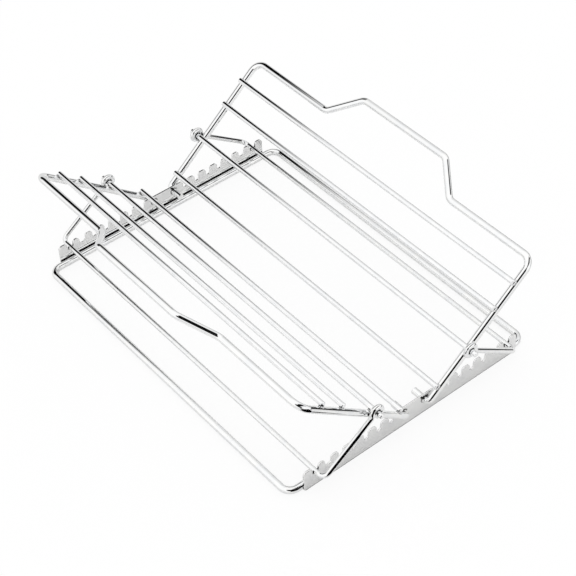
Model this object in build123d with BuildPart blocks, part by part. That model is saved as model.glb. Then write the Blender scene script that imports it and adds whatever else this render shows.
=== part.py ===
from build123d import *
from math import atan2, cos, degrees, hypot, radians, sin, sqrt
import os

# Adjustable roasting rack of plated steel wire, in millimetres.
# X runs along the notched plates, Y along the rods, Z is up.
# The origin is the middle of the base, on the surface that the rack stands on.

# Base loop, outside to outside
base_length = 330.0
base_width = 256.0
base_wire = 6.0
base_corner_radius = 9.0

# Notched side plates, standing against the outside of the loop's short sides
plate_height = 20.6
plate_thickness = 1.5
plate_weld_depth = 0.2
plate_corner_radius = 3.4
plate_foot_chamfer = 1.5
end_tooth = 8.0
tooth_radius = 2.6

# Notches, on each side of the plate's middle: narrow ones, then wide shallow ones
first_notch = 24.0
notch_pitch = 12.9
narrow_notch_count = 5
narrow_notch_clearance = 0.3
narrow_notch_depth = 7.8
wide_notch_count = 2
wide_notch_clearance = 1.1
wide_notch_depth = 7.4

# Wing pegs in the plates
pivot_spacing = 21.8
pivot_below_top = 5.35
peg_clearance = 0.08
peg_reach = 11.0
peg_straight = 0.2

# Wings: one bent wire and four rods each
wing_wire = 6.0
wing_angle = 39.4
wing_length = 138.4
side_gap = 1.7
wing_corner_radius = 10.0
handle_reach = 26.1
handle_length = 100.0
handle_slant = 27.0
handle_bend_radius = 8.0

# Rods, welded across the side wires on the food side
rod_wire = 4.6
rod_weld_depth = 0.25
rod_overhang = 0.8
rod_1_place = 115.5
rod_2_place = 90.1
rod_3_place = 53.2
rod_4_place = 14.2
prop_rod = 3
prop_rod_tip = 4.7

# Props: one bent wire each, hung on the prop rod by an eye at each end
prop_wire = 4.4
prop_side_gap = 0.3
eye_clearance = 0.3
eye_wrap = 285.0
eye_neck_radius = 3.5
prop_bend_radius = 6.0
seat_gap = 0.2

# Cut ends of the wires
wire_end_chamfer = 0.5
rod_end_chamfer = 0.4

# Places that follow from the sizes
plate_inner_y = base_length / 2 - plate_weld_depth
plate_outer_y = plate_inner_y + plate_thickness
pivot_x = pivot_spacing / 2
pivot_height = plate_height - pivot_below_top
side_wire_y = plate_outer_y + side_gap + wing_wire / 2
peg_bend_radius = side_gap + wing_wire / 2 - peg_straight
rod_lift = (wing_wire + rod_wire) / 2 - rod_weld_depth
prop_arm_y = side_wire_y + wing_wire / 2 + prop_side_gap + prop_wire / 2
notches = [first_notch + i * notch_pitch for i in range(narrow_notch_count + wide_notch_count)]
narrow_notches = notches[:narrow_notch_count]
wide_notches = notches[narrow_notch_count:]
narrow_notch_width = prop_wire + 2 * narrow_notch_clearance
wide_notch_width = prop_wire + 2 * wide_notch_clearance
plate_length = 2 * (notches[-1] + wide_notch_width / 2 + end_tooth)
tooth_rounding = min(tooth_radius, 0.45 * (notch_pitch - wide_notch_width), 0.45 * end_tooth)
corner_rounding = min(plate_corner_radius, 0.95 * (end_tooth - tooth_rounding))
bar_x = notches[-1]
bar_z = plate_height - wide_notch_depth + seat_gap + prop_wire / 2
eye_radius = rod_wire / 2 + eye_clearance + prop_wire / 2
tilt = radians(wing_angle)
rod_places = {1: rod_1_place, 2: rod_2_place, 3: rod_3_place, 4: rod_4_place}

os.makedirs("parts", exist_ok=True)


def wing_point(side, along, lift):
    """X and Z of a point at a distance along the wing and above its frame."""
    x = pivot_x + along * cos(tilt) - lift * sin(tilt)
    z = pivot_height + along * sin(tilt) + lift * cos(tilt)
    return side * x, z


def wire_ends(part):
    """The round edges of a wire's two cut ends."""
    flats = part.faces().filter_by(GeomType.PLANE)
    return flats.edges().filter_by(GeomType.CIRCLE)


# Base loop, one closed wire lying flat
with BuildPart() as base_frame:
    loop_x = (base_width - base_wire) / 2
    loop_y = (base_length - base_wire) / 2
    with BuildLine(Plane.XY.offset(base_wire / 2)) as loop:
        FilletPolyline(
            (loop_x, -loop_y),
            (loop_x, loop_y),
            (-loop_x, loop_y),
            (-loop_x, -loop_y),
            radius=base_corner_radius,
            close=True,
        )
    route = loop.wire()
    with BuildSketch(Plane(route @ 0, z_dir=route % 0)):
        Circle(base_wire / 2)
    sweep(path=route)
base_frame.part.label = "base_frame"
export_step(base_frame.part, "parts/base_frame.step")


def plate_outline():
    """Side plate seen square on: a strip with a row of notches each side of its middle."""
    with BuildSketch() as outline:
        with Locations((0, plate_height / 2)):
            Rectangle(plate_length, plate_height)
        ends = outline.vertices().group_by(Axis.Y)
        chamfer(ends[0], plate_foot_chamfer)
        rounded = outline.vertices().group_by(Axis.Y)[-1]
        fillet(rounded, corner_rounding)
        rows = [(narrow_notches, narrow_notch_width, narrow_notch_depth)]
        rows.append((wide_notches, wide_notch_width, wide_notch_depth))
        for places, width, depth in rows:
            floor_centre = plate_height - depth + width / 2
            spots = [(side * x, floor_centre) for x in places for side in (-1, 1)]
            with Locations(spots):
                Circle(width / 2, mode=Mode.SUBTRACT)
                Rectangle(width, plate_height, align=(Align.CENTER, Align.MIN), mode=Mode.SUBTRACT)
        tips = outline.vertices().group_by(Axis.Y)[-1]
        tips = tips.filter_by(lambda tip: abs(tip.X) < notches[-1] + wide_notch_width / 2 + 0.001)
        fillet(tips, tooth_rounding)
    return outline.sketch


# Side plates: the front one at -Y, the back one at +Y, each with two pivot holes
for name, offset in (("front_side_plate", plate_inner_y), ("back_side_plate", -plate_outer_y)):
    with BuildPart() as side_plate:
        with BuildSketch(Plane.XZ.offset(offset)):
            add(plate_outline())
            with Locations((-pivot_x, pivot_height), (pivot_x, pivot_height)):
                Circle(wing_wire / 2 + peg_clearance, mode=Mode.SUBTRACT)
        extrude(amount=plate_thickness)
    side_plate.part.label = name
    export_step(side_plate.part, f"parts/{name}.step")


# Wings and props, left at -X and right at +X
for side_name, side in (("left", -1), ("right", 1)):
    # The wing's plane holds the peg axis, the side wires and the outer bar
    pivot = (side * pivot_x, 0, pivot_height)
    wing_way = (side * cos(tilt), 0, sin(tilt))
    wing_plane = Plane(pivot, x_dir=wing_way, z_dir=(-side * sin(tilt), 0, cos(tilt)))
    peg_end = plate_inner_y - peg_reach
    handle_half = handle_length / 2
    outer = wing_length + handle_reach
    half_route = [
        (0, peg_end),
        (0, side_wire_y),
        (wing_length, side_wire_y),
        (wing_length, handle_half + handle_slant),
        (outer, handle_half),
    ]
    half_radii = [peg_bend_radius, wing_corner_radius, handle_bend_radius, handle_bend_radius]
    with BuildPart() as wing_frame:
        with BuildLine(wing_plane) as wing_route:
            FilletPolyline(
                *[(s, -y) for s, y in half_route],
                *reversed(half_route),
                radius=half_radii + half_radii[::-1],
            )
        route = wing_route.wire()
        with BuildSketch(Plane(route @ 0, z_dir=route % 0)):
            Circle(wing_wire / 2)
        sweep(path=route)
        chamfer(wire_ends(wing_frame), wire_end_chamfer)
    wing_frame.part.label = f"{side_name}_wing_frame"
    export_step(wing_frame.part, f"parts/{side_name}_wing_frame.step")

    # Four straight rods; the prop rod runs on through the prop's eyes
    for number, place in rod_places.items():
        rod_x, rod_z = wing_point(side, place, rod_lift)
        rod_half = side_wire_y + rod_overhang
        if number == prop_rod:
            rod_half = prop_arm_y + prop_wire / 2 + prop_rod_tip
        with BuildPart() as rod:
            with BuildSketch(Plane((rod_x, 0, rod_z), x_dir=(1, 0, 0), z_dir=(0, 1, 0))):
                Circle(rod_wire / 2)
            extrude(amount=rod_half, both=True)
            chamfer(wire_ends(rod), rod_end_chamfer)
        rod.part.label = f"{side_name}_wing_rod_{number}"
        export_step(rod.part, f"parts/{side_name}_wing_rod_{number}.step")

    # The prop's arms run from the prop rod to the bar in the outermost notch
    eye_x, eye_z = wing_point(side, rod_places[prop_rod], rod_lift)
    run_x = side * bar_x - eye_x
    run_z = bar_z - eye_z
    arm_length = hypot(run_x, run_z)
    arm_way = (run_x / arm_length, 0, run_z / arm_length)
    prop_plane = Plane((eye_x, 0, eye_z), x_dir=arm_way, z_dir=(-arm_way[2], 0, arm_way[0]))
    # Each eye leaves the arm by a short reverse bend and wraps round the rod
    neck_start = sqrt((eye_radius + eye_neck_radius) ** 2 - eye_neck_radius**2)
    neck_angle = degrees(atan2(eye_neck_radius, neck_start))
    with BuildPart() as prop:
        for end in (-1, 1):
            eye_origin = (eye_x, end * prop_arm_y, eye_z)
            with BuildLine(Plane(eye_origin, x_dir=arm_way, z_dir=(0, -side, 0))):
                CenterArc((0, 0), eye_radius, neck_angle, eye_wrap)
                CenterArc((neck_start, eye_neck_radius), eye_neck_radius, 180 + neck_angle, 90 - neck_angle)
        with BuildLine(prop_plane):
            FilletPolyline(
                (neck_start, -prop_arm_y),
                (arm_length, -prop_arm_y),
                (arm_length, prop_arm_y),
                (neck_start, prop_arm_y),
                radius=prop_bend_radius,
            )
        route = prop.pending_edges_as_wire
        with BuildSketch(Plane(route @ 0, z_dir=route % 0)):
            Circle(prop_wire / 2)
        sweep(path=route)
    prop.part.label = f"{side_name}_prop"
    export_step(prop.part, f"parts/{side_name}_prop.step")
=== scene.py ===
# Adjustable roasting rack of bright plated wire, dressed for rendering
from math import cos, radians, sin

import bpy
from mathutils import Matrix, Quaternion, Vector


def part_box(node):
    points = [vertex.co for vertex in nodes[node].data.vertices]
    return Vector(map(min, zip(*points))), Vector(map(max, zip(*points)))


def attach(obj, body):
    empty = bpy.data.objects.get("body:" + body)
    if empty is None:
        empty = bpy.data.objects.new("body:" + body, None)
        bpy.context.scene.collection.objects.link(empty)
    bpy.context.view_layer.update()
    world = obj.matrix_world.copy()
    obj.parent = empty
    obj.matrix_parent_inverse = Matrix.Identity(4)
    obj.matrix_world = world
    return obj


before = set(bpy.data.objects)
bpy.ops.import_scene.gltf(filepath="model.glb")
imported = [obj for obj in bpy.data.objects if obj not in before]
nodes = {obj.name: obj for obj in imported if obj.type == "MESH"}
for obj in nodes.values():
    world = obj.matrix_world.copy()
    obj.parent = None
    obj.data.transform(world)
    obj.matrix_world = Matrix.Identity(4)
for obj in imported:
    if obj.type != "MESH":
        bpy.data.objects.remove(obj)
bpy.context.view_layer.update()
print("frame loaded:", len(nodes), "nodes")


def deselectAll():
    if bpy.context.object and bpy.context.object.mode != "OBJECT":
        bpy.ops.object.mode_set(mode="OBJECT")
    bpy.ops.object.select_all(action="DESELECT")


def hexToLinear(code):
    # sRGB hex to the linear values that sockets hold
    values = [int(code[i : i + 2], 16) / 255 for i in (1, 3, 5)]
    linear = [v / 12.92 if v <= 0.04045 else ((v + 0.055) / 1.055) ** 2.4 for v in values]
    return (*linear, 1.0)


def addNode(tree, kind, settings=None, links=None):
    # settings: input name or number, or attribute -> value; links: input -> output socket
    node = tree.nodes.new(kind)
    for name, value in (settings or {}).items():
        if isinstance(name, int) or name in node.inputs:
            node.inputs[name].default_value = value
        else:
            setattr(node, name, value)
    for name, socket in (links or {}).items():
        tree.links.new(socket, node.inputs[name])
    return node


# camera, at the photograph's angle
cameraSettings = {
    "place": (-0.60997, -0.79404, 1.00303),  # metres, from the photograph's perspective
    "heading": 37.915,  # degrees clockwise from +Y
    "tilt": 44.432,
    "roll": 2.214,
    "lens": 104.37,  # mm
    "sensor": 36,  # mm
    "sees": (0.05, 20),  # metres, nearest and farthest
}


def makeCamera(s):
    data = bpy.data.cameras.new("camera")
    data.lens = s["lens"]
    data.sensor_width = s["sensor"]
    data.clip_start, data.clip_end = s["sees"]
    camera = bpy.data.objects.new("camera", data)
    bpy.context.scene.collection.objects.link(camera)
    turn = Matrix.Rotation(radians(-s["heading"]), 4, "Z")
    turn = turn @ Matrix.Rotation(radians(90 - s["tilt"]), 4, "X")
    turn = turn @ Matrix.Rotation(radians(-s["roll"]), 4, "Z")
    camera.matrix_world = Matrix.Translation(s["place"]) @ turn
    bpy.context.scene.camera = camera


makeCamera(cameraSettings)
print("camera placed")


# what all the plated finishes share
plating = {
    "cloudDetail": 3.0,
    "cloudRoughness": 0.55,
    "lineDetail": 2.0,
    "lineRoughness": 0.6,
    "patchEdges": (0.35, 0.62),  # where the clouds turn from duller to clear
    "glossEdges": (0.12, 0.42),  # clouds times lines, from smooth to rough
    "lineDepth": 0.0002,  # metres
    "recessEdges": (0.55, 0.88),  # how open a place is, from full painted shade to none
    # near-black colour of the painted shade in recesses
    "unplated": "#1B1B1C",
    "recessProbes": 8,
    "edgeProbes": 6,
}

# one function makes every finish, from one dictionary of settings each; recess and edge
# are in metres, cloudSize and lineSize in mm
finishes = {
    # thick bright chromium over smooth drawn wire: reads as a clean mirror, near white
    "brightChromeWire": {
        "slots": ["base_wire", "wing_wire"],
        "tint": "#F8F8F7",
        "duller": "#F2F3F4",  # thin, slightly milky plating between clear patches
        "roughness": (0.015, 0.04),
        "cloudSize": 9.0,
        "drawLines": (1.0, 1.0, 1.0),
        "lineSize": 1.6,
        "recess": 0.0007,
        "bump": 0.004,
    },
    # the rods' plating follows the die lines that drawing leaves along the wire
    "drawnChromeRod": {
        "slots": ["rod_wire"],
        "tint": "#F8F8F8",
        "duller": "#F1F2F3",
        "roughness": (0.02, 0.05),
        "cloudSize": 7.0,
        "drawLines": (1.0, 0.03, 1.0),
        "lineSize": 0.9,
        "recess": 0.0012,
        "bump": 0.008,
    },
    # struts of thinner, harder wire: a little sharper
    "springChromeWire": {
        "slots": ["prop_wire"],
        "tint": "#F6F6F5",
        "duller": "#EFF0F1",
        "roughness": (0.015, 0.035),
        "cloudSize": 6.0,
        "drawLines": (1.0, 1.0, 1.0),
        "lineSize": 1.2,
        "recess": 0.001,
        "bump": 0.004,
    },
    # chromium over rolled strip: softer than the wire, with the rolling grain along X
    "satinChromeStrip": {
        "slots": ["plate"],
        "tint": "#F2F2F1",
        "duller": "#ECECEC",
        "roughness": (0.07, 0.14),
        "cloudSize": 16.0,
        "drawLines": (0.03, 1.0, 1.0),
        "lineSize": 0.9,
        "recess": 0.0022,
        "bump": 0.03,
        "edge": 0.0007,  # how far the tumbled edges are rounded
    },
}


def makeFinish(name, s):
    finish = bpy.data.materials.new(name)
    finish.use_nodes = True
    tree = finish.node_tree
    tree.nodes.clear()
    place = addNode(tree, "ShaderNodeTexCoord").outputs["Object"]
    # noise scales count cells per metre, since the model is in metres
    clouds = addNode(
        tree,
        "ShaderNodeTexNoise",
        {
            "Scale": 1000 / s["cloudSize"],
            "Detail": plating["cloudDetail"],
            "Roughness": plating["cloudRoughness"],
        },
        {"Vector": place},
    )
    stretched = addNode(tree, "ShaderNodeMapping", {"Scale": s["drawLines"]}, {"Vector": place})
    lines = addNode(
        tree,
        "ShaderNodeTexNoise",
        {
            "Scale": 1000 / s["lineSize"],
            "Detail": plating["lineDetail"],
            "Roughness": plating["lineRoughness"],
        },
        {"Vector": stretched.outputs["Vector"]},
    )
    tone = addNode(tree, "ShaderNodeValToRGB", None, {"Fac": clouds.outputs["Fac"]})
    ends = zip(tone.color_ramp.elements, plating["patchEdges"], (s["duller"], s["tint"]))
    for stop, position, shade in ends:
        stop.position = position
        stop.color = hexToLinear(shade)
    mixed = addNode(
        tree,
        "ShaderNodeMath",
        {"operation": "MULTIPLY"},
        {0: clouds.outputs["Fac"], 1: lines.outputs["Fac"]},
    )
    low, high = plating["glossEdges"]
    smooth, rough = s["roughness"]
    gloss = addNode(
        tree,
        "ShaderNodeMapRange",
        {"From Min": low, "From Max": high, "To Min": smooth, "To Max": rough},
        {"Value": mixed.outputs[0]},
    )
    relief = addNode(
        tree,
        "ShaderNodeBump",
        {"Strength": s["bump"], "Distance": plating["lineDepth"]},
        {"Height": lines.outputs["Fac"]},
    )
    if "edge" in s:
        # tumbled edges catch the light as thin lines
        probes = {"samples": plating["edgeProbes"], "Radius": s["edge"]}
        tumbled = addNode(tree, "ShaderNodeBevel", probes)
        tree.links.new(tumbled.outputs["Normal"], relief.inputs["Normal"])
    # painted shade: narrow recesses, creases and places near other parts or the floor are darkened
    # towards a near-black colour, standing in for the shade that falls there
    probes = {"samples": plating["recessProbes"], "Distance": s["recess"]}
    nearby = addNode(tree, "ShaderNodeAmbientOcclusion", probes)
    low, high = plating["recessEdges"]
    paintedShadeMix = addNode(
        tree,
        "ShaderNodeMapRange",
        {"interpolation_type": "SMOOTHSTEP", "From Min": low, "From Max": high},
        {"Value": nearby.outputs["AO"]},
    )
    # painted shade mixed into the metal's colour where a place is enclosed
    plated = addNode(
        tree,
        "ShaderNodeMix",
        {"data_type": "RGBA", 6: hexToLinear(plating["unplated"])},
        {0: paintedShadeMix.outputs["Result"], 7: tone.outputs["Color"]},
    )
    metal = addNode(
        tree,
        "ShaderNodeBsdfPrincipled",
        {"Metallic": 1.0},
        {
            "Base Color": plated.outputs[2],
            "Roughness": gloss.outputs["Result"],
            "Normal": relief.outputs["Normal"],
        },
    )
    out = addNode(tree, "ShaderNodeOutputMaterial", None, {"Surface": metal.outputs["BSDF"]})
    out.target = "ALL"
    return finish


# chromium over a small resistance weld: the same metal, softer and a little uneven
weldFinish = {
    "tint": "#EDEDED",
    "duller": "#E2E3E4",
    "roughness": (0.05, 0.12),
    "cloudSize": 1.6,
    "drawLines": (1.0, 1.0, 1.0),
    "lineSize": 0.7,
    "recess": 0.0008,
    "bump": 0.05,
}

slotFinish = {}
for name, settings in finishes.items():
    made = makeFinish(name, settings)
    for slotName in settings["slots"]:
        slotFinish[slotName] = made


def finishFor(nodeName):
    if "plate" in nodeName:
        return slotFinish["plate"]
    if "prop" in nodeName:
        return slotFinish["prop_wire"]
    if "rod" in nodeName:
        return slotFinish["rod_wire"]
    return slotFinish["wing_wire"] if "wing" in nodeName else slotFinish["base_wire"]


for name, node in nodes.items():
    node.data.materials.clear()
    node.data.materials.append(finishFor(name))
print("finishes assigned")


# metal squeezed out where each rod is welded across a side wire
weldBead = {
    "facets": (20, 10),  # round the bead and from pole to pole
    "reach": (0.0026, 0.0024),  # metres from the middle, along the wing and along the rod
    "thickness": 0.00085,
    "lobeFrom": 0.6,  # share of the reach where the two lobes beside the rod start
    "lobeWidth": 0.7,  # share of the reach along the rod
    "squeezed": (0.0003, 0.000036, 0),  # how far the lobes are pushed out and along the rod
    "narrowed": (1, 0.9, 0.8),  # scale of the lobes outward, along the rod and upward
    "belowAxis": 0.00215,  # from the rod's axis down to the weld
    "sideWire": 0.003,  # radius of the wire that the rods cross
}


def makeBead(s):
    deselectAll()
    around, rings = s["facets"]
    bpy.ops.mesh.primitive_uv_sphere_add(segments=around, ring_count=rings, radius=1.0)
    bead = bpy.context.object
    bpy.ops.object.mode_set(mode="EDIT")
    bpy.ops.transform.resize(value=(*s["reach"], s["thickness"]))
    bpy.ops.mesh.select_mode(type="VERT")
    for side in (-1, 1):
        bpy.ops.mesh.select_all(action="DESELECT")
        bpy.ops.object.mode_set(mode="OBJECT")
        for point in bead.data.vertices:
            outward = side * point.co.x > s["lobeFrom"] * s["reach"][0]
            point.select = outward and abs(point.co.y) < s["lobeWidth"] * s["reach"][1]
        bpy.ops.object.mode_set(mode="EDIT")
        out, along, up = s["squeezed"]
        bpy.ops.transform.translate(value=(side * out, along, up))
        bpy.ops.transform.resize(value=s["narrowed"])
    bpy.ops.object.mode_set(mode="OBJECT")
    rounding = bead.modifiers.new("rounding", "SUBSURF")
    rounding.levels = rounding.render_levels = 1
    bpy.ops.object.modifier_apply(modifier="rounding")
    bpy.ops.object.shade_smooth()
    return bead


def middle(nodeName):
    low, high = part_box(nodeName)
    return (Vector(low) + Vector(high)) / 2


def placeWelds(s):
    bead = makeBead(s)
    finish = makeFinish("weldedChrome", weldFinish)
    for side in ("left", "right"):
        rise = (middle(side + "_wing_rod_1") - middle(side + "_wing_rod_4")).normalized()
        upward = rise.cross(Vector((0, 1, 0)))
        if upward.z < 0:
            upward = -upward
        turn = Matrix((rise, upward.cross(rise), upward)).transposed().to_4x4()
        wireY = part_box(side + "_wing_frame")[1][1] - s["sideWire"]
        for number in (1, 2, 3, 4):
            rod = middle(f"{side}_wing_rod_{number}")
            for end in (-1, 1):
                spot = Vector((rod.x, end * wireY, rod.z)) - s["belowAxis"] * upward
                weld = bead.copy()
                weld.data = bead.data.copy()
                weld.name = f"{side}Weld{number}{'Front' if end < 0 else 'Back'}"
                bpy.context.scene.collection.objects.link(weld)
                weld.matrix_world = Matrix.Translation(spot) @ turn
                deselectAll()
                weld.select_set(True)
                bpy.context.view_layer.objects.active = weld
                bpy.ops.object.transform_apply(location=True, rotation=True, scale=True)
                weld.data.materials.append(finish)
                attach(weld, side + "_wing")
    bpy.data.objects.remove(bead)


placeWelds(weldBead)
print("welds placed")


# white floor, and a white tent round the rack with the few dark things that chrome picks up
studioSettings = {
    "light": 1.08,  # strength of the white surroundings
    "below": 0.8,  # what reflections find below the horizon, beyond the floor
    "tentRadius": 1.61,
    "tentFacets": (96, 48),
    "floorDrop": 0.0002,  # metres under the rack, so that the two don't touch
    "floorTone": "#F6F6F6",
    "floorGlow": (1.0, 0.66),  # the floor's own white for the camera and reflections
    "floorSize": 1.6,
    "floorShadow": (0.12, 0.7),  # share of the floor's shading for the camera and reflections
    "floorReach": 0.30,  # metres of floor that reflections find
    # dark places on the tent, in degrees as seen from the rack; "clear" cuts an oval away
    "dark": [
        {"at": (50, 15), "reach": (70, 42), "soft": 0.3, "tone": "#E3E3E3"},  # grey backdrop
        {
            "at": (68.2, 11.5), "reach": (53, 31.3), "turn": 42.6, "soft": 0.06,
            "tone": "#060606", "clear": {"at": (70, -4.7), "reach": (50, 34.2), "soft": 0.06},
        },
        {"at": (-126, 33), "reach": (23, 18.5), "turn": -42, "soft": 0.2, "tone": "#060606"},
        {"at": (-74, 56), "reach": (32, 12), "soft": 0.2, "tone": "#060606"},
        {"at": (-27, 42), "reach": (7, 13), "soft": 0.3, "tone": "#2A2A2B"},
        {"at": (-6.4, 2.2), "reach": (45, 6.0), "turn": 5.8, "soft": 0.06, "tone": "#2C2C2D"},
    ],
    # black card near the rack's front left corner, which only reflections show
    "card": {
        "middle": (-0.12, -0.26, 0.055),
        "size": (0.15, 0.11),
        "flap": 0.05,
        "tone": "#0C0C0C",
    },
}


def direction(bearing, height):
    b, h = radians(bearing), radians(height)
    return Vector((cos(b) * cos(h), sin(b) * cos(h), sin(h)))


def patchMask(tree, way, at, reach, soft, turn=0.0):
    # 1 inside an oval patch of the tent, 0 outside it
    ahead = direction(*at)
    right = Vector((0, 0, 1)).cross(ahead).normalized()
    right.rotate(Quaternion(ahead, radians(turn)))
    upward = ahead.cross(right)
    spread = addNode(tree, "ShaderNodeCombineXYZ")
    for axis, vector, size in (("X", right, reach[0]), ("Y", upward, reach[1])):
        part = addNode(
            tree,
            "ShaderNodeVectorMath",
            {"operation": "DOT_PRODUCT", 1: vector / sin(radians(size))},
            {0: way},
        )
        tree.links.new(part.outputs["Value"], spread.inputs[axis])
    away = addNode(
        tree, "ShaderNodeVectorMath", {"operation": "LENGTH"}, {0: spread.outputs["Vector"]}
    )
    edge = addNode(
        tree,
        "ShaderNodeMapRange",
        {"interpolation_type": "SMOOTHSTEP", "From Min": 1 + soft, "From Max": 1 - soft},
        {"Value": away.outputs["Value"]},
    )
    facing = addNode(
        tree, "ShaderNodeVectorMath", {"operation": "DOT_PRODUCT", 1: ahead}, {0: way}
    )
    front = addNode(
        tree, "ShaderNodeMath", {"operation": "GREATER_THAN", 1: 0.0}, {0: facing.outputs["Value"]}
    )
    mask = addNode(
        tree,
        "ShaderNodeMath",
        {"operation": "MULTIPLY"},
        {0: edge.outputs["Result"], 1: front.outputs[0]},
    )
    return mask.outputs[0]


def mixLink(tree, fac, first, second):
    # shader mix: first where fac is 0, second where it is 1
    mixed = addNode(tree, "ShaderNodeMixShader", None, {"Fac": fac, 1: first, 2: second})
    return mixed.outputs[0]


def reflectedOnly(tree, shader):
    unseen = addNode(tree, "ShaderNodeBsdfTransparent")
    rays = addNode(tree, "ShaderNodeLightPath")
    return mixLink(tree, rays.outputs["Is Glossy Ray"], unseen.outputs[0], shader)


def makeWorld(s):
    world = bpy.data.worlds.new("studio")
    world.use_nodes = True
    bpy.context.scene.world = world
    tree = world.node_tree
    tree.nodes.clear()
    light = addNode(tree, "ShaderNodeBackground", {"Color": (1, 1, 1, 1), "Strength": s["light"]})
    backdrop = addNode(tree, "ShaderNodeBackground", {"Color": (1, 1, 1, 1), "Strength": 1.0})
    rays = addNode(tree, "ShaderNodeLightPath")
    seen = mixLink(tree, rays.outputs["Is Camera Ray"], light.outputs[0], backdrop.outputs[0])
    addNode(tree, "ShaderNodeOutputWorld", None, {"Surface": seen})


def newMatter(name):
    matter = bpy.data.materials.new(name)
    matter.use_nodes = True
    matter.node_tree.nodes.clear()
    return matter, matter.node_tree


def makeTent(s):
    deselectAll()
    around, rings = s["tentFacets"]
    bpy.ops.mesh.primitive_uv_sphere_add(
        segments=around, ring_count=rings, radius=s["tentRadius"]
    )
    tent = bpy.context.object
    tent.name = "studioTent"
    bpy.ops.object.shade_smooth()
    cloth, tree = newMatter("tentCloth")
    place = addNode(tree, "ShaderNodeTexCoord").outputs["Object"]
    way = addNode(
        tree, "ShaderNodeVectorMath", {"operation": "NORMALIZE"}, {0: place}
    ).outputs["Vector"]
    height = addNode(tree, "ShaderNodeSeparateXYZ", None, {0: way}).outputs["Z"]
    above = addNode(tree, "ShaderNodeMath", {"operation": "GREATER_THAN", 1: 0.0}, {0: height})
    level = addNode(
        tree,
        "ShaderNodeMapRange",
        {"To Min": s["below"], "To Max": s["light"]},
        {"Value": above.outputs[0]},
    )
    colour = level.outputs["Result"]
    for dark in s["dark"]:
        mask = patchMask(tree, way, dark["at"], dark["reach"], dark["soft"], dark.get("turn", 0))
        if "clear" in dark:
            inner = patchMask(tree, way, **dark["clear"])
            cut = addNode(tree, "ShaderNodeMath", {"operation": "SUBTRACT", 0: 1.0}, {1: inner})
            mask = addNode(
                tree, "ShaderNodeMath", {"operation": "MULTIPLY"}, {0: mask, 1: cut.outputs[0]}
            ).outputs[0]
        mix = addNode(
            tree,
            "ShaderNodeMix",
            {"data_type": "RGBA", 7: hexToLinear(dark["tone"])},
            {0: mask, 6: colour},
        )
        colour = mix.outputs[2]
    glow = addNode(tree, "ShaderNodeEmission", {"Strength": 1.0}, {"Color": colour})
    seen = reflectedOnly(tree, glow.outputs[0])
    addNode(tree, "ShaderNodeOutputMaterial", None, {"Surface": seen})
    tent.data.materials.append(cloth)


def makeFloor(s):
    deselectAll()
    bpy.ops.mesh.primitive_plane_add(size=s["floorSize"], location=(0, 0, -s["floorDrop"]))
    floor = bpy.context.object
    floor.name = "studioFloor"
    bpy.ops.object.transform_apply(location=True)
    paint, tree = newMatter("whitePaperFloor")
    matte = addNode(tree, "ShaderNodeBsdfDiffuse", {"Color": hexToLinear(s["floorTone"])})
    rays = addNode(tree, "ShaderNodeLightPath")
    seenGlow, mirroredGlow = s["floorGlow"]
    glow = addNode(
        tree,
        "ShaderNodeMapRange",
        {"To Min": mirroredGlow, "To Max": seenGlow},
        {"Value": rays.outputs["Is Camera Ray"]},
    )
    white = addNode(tree, "ShaderNodeEmission", None, {"Strength": glow.outputs["Result"]})
    seenShare, mirroredShare = s["floorShadow"]
    share = addNode(
        tree,
        "ShaderNodeMapRange",
        {"To Min": 1 - mirroredShare, "To Max": 1 - seenShare},
        {"Value": rays.outputs["Is Camera Ray"]},
    )
    shown = mixLink(tree, share.outputs["Result"], matte.outputs[0], white.outputs[0])
    # reflections find the tent beyond the part of the floor near the rack
    place = addNode(tree, "ShaderNodeTexCoord").outputs["Object"]
    away = addNode(tree, "ShaderNodeVectorMath", {"operation": "LENGTH"}, {0: place})
    far = addNode(
        tree,
        "ShaderNodeMath",
        {"operation": "GREATER_THAN", 1: s["floorReach"]},
        {0: away.outputs["Value"]},
    )
    both = addNode(
        tree,
        "ShaderNodeMath",
        {"operation": "MULTIPLY"},
        {0: far.outputs[0], 1: rays.outputs["Is Glossy Ray"]},
    )
    unseen = addNode(tree, "ShaderNodeBsdfTransparent")
    seen = mixLink(tree, both.outputs[0], shown, unseen.outputs[0])
    addNode(tree, "ShaderNodeOutputMaterial", None, {"Surface": seen})
    floor.data.materials.append(paint)


def makeCard(s):
    card = s["card"]
    deselectAll()
    bpy.ops.mesh.primitive_plane_add(size=1.0, location=card["middle"])
    flag = bpy.context.object
    flag.name = "studioCard"
    flag.rotation_euler = (radians(90), 0, 0)
    flag.scale = (*card["size"], 1)
    bpy.ops.object.transform_apply(location=True, rotation=True, scale=True)
    # flap of the card that lies on the floor, towards the rack
    bpy.ops.object.mode_set(mode="EDIT")
    bpy.ops.mesh.select_mode(type="VERT")
    bpy.ops.mesh.select_all(action="DESELECT")
    bpy.ops.object.mode_set(mode="OBJECT")
    for corner in flag.data.vertices:
        corner.select = corner.co.z < card["middle"][2]
    bpy.ops.object.mode_set(mode="EDIT")
    bpy.ops.mesh.select_mode(type="EDGE")
    bpy.ops.mesh.extrude_region_move(TRANSFORM_OT_translate={"value": (0, card["flap"], 0)})
    bpy.ops.object.mode_set(mode="OBJECT")
    felt, tree = newMatter("blackFeltCard")
    cloth = addNode(tree, "ShaderNodeBsdfDiffuse", {"Color": hexToLinear(card["tone"])})
    seen = reflectedOnly(tree, cloth.outputs[0])
    addNode(tree, "ShaderNodeOutputMaterial", None, {"Surface": seen})
    flag.data.materials.append(felt)


makeWorld(studioSettings)
makeTent(studioSettings)
makeFloor(studioSettings)
makeCard(studioSettings)
bpy.context.scene.view_settings.view_transform = "Standard"
print("studio made")
